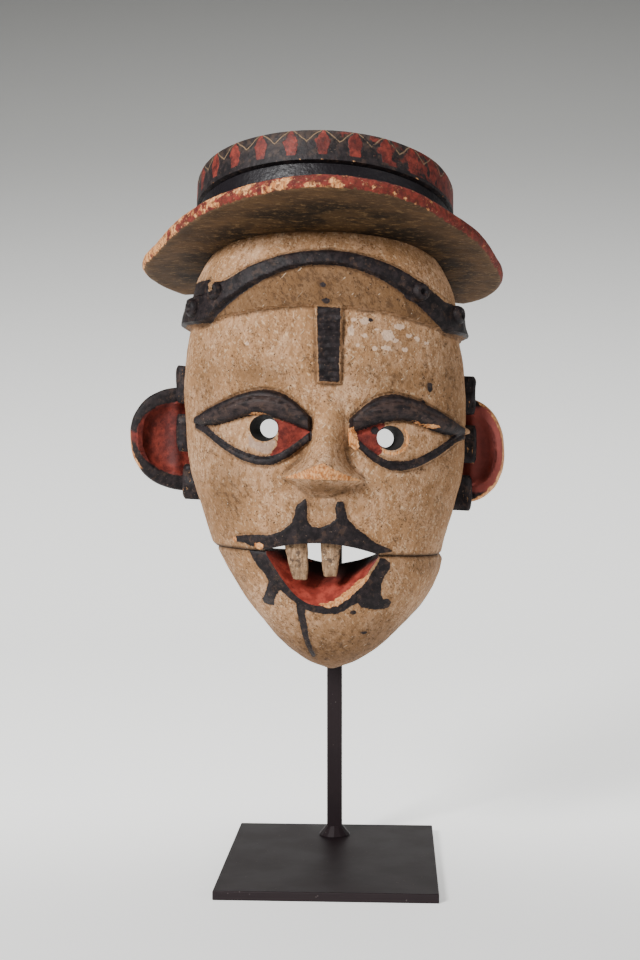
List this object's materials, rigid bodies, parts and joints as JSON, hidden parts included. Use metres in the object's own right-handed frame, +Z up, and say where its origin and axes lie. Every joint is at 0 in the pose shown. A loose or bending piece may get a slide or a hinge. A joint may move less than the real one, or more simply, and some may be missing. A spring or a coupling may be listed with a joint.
{
  "type": "mask",
  "caption": "Hollow carved wooden mask with a brimmed hat, scoop ears, pierced eyes and a hinged lower jaw, carried by a square rod on a flat steel stand",
  "frame": {"origin": "centre of the base plate's underside, on the table", "axes": "+Z up, -Y the way the face looks, +X the viewer's right"},
  "size_m": [0.1947, 0.1602, 0.3615],
  "materials": {
    "painted_wood": "worn matt paint",
    "weathered_peg_wood": "bare and weathered",
    "fibre_cord": "twisted fibre",
    "blackened_steel": "satin"
  },
  "bodies": {
    "mask_on_stand": {"mask": "painted_wood", "tooth_left": "weathered_peg_wood", "tooth_right": "weathered_peg_wood", "jaw_tie_left": "fibre_cord", "jaw_tie_right": "fibre_cord", "base_plate": "blackened_steel", "support_rod": "blackened_steel", "mask_bracket": "blackened_steel"},
    "jaw": {"jaw": "painted_wood"}
  },
  "joints": [
    {"name": "jaw_hinge", "type": "hinge", "parent": "mask_on_stand", "child": "jaw", "pos_m": [0, 0.027, 0.16285], "axis": [0.9992, 0, -0.04], "range_deg": [0, 20]}
  ]
}
